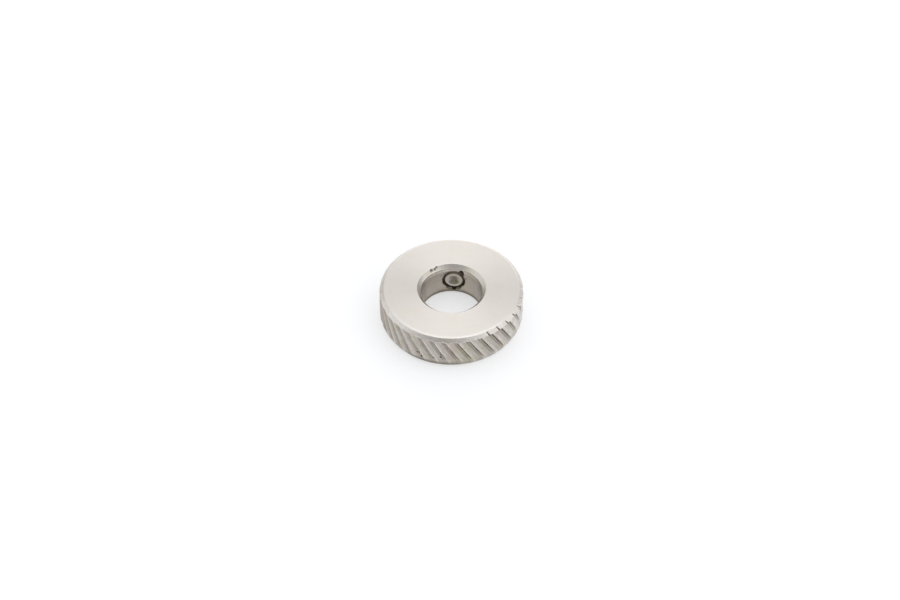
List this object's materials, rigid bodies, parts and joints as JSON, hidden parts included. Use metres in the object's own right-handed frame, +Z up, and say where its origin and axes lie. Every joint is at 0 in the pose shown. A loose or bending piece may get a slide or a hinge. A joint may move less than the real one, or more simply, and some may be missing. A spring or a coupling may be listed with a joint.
{
  "type": "knurled clamping ring with set screw",
  "caption": "Turned steel ring with a plain bore, chamfered edges and a coarse diagonal knurl, held on its shaft by a cup point set screw through the wall.",
  "frame": {"origin": "centre of the bore in the plane of the lower face, which the ring rests on", "axes": "+Z up along the bore's axis; the set screw lies along +Y with its point towards the bore"},
  "size_m": [0.019, 0.019, 0.005],
  "materials": {
    "ring_steel": "turned satin steel",
    "screw_steel": "plain machined steel"
  },
  "bodies": {
    "root": {"knurled_ring": "ring_steel", "set_screw": "screw_steel"}
  },
  "joints": []
}
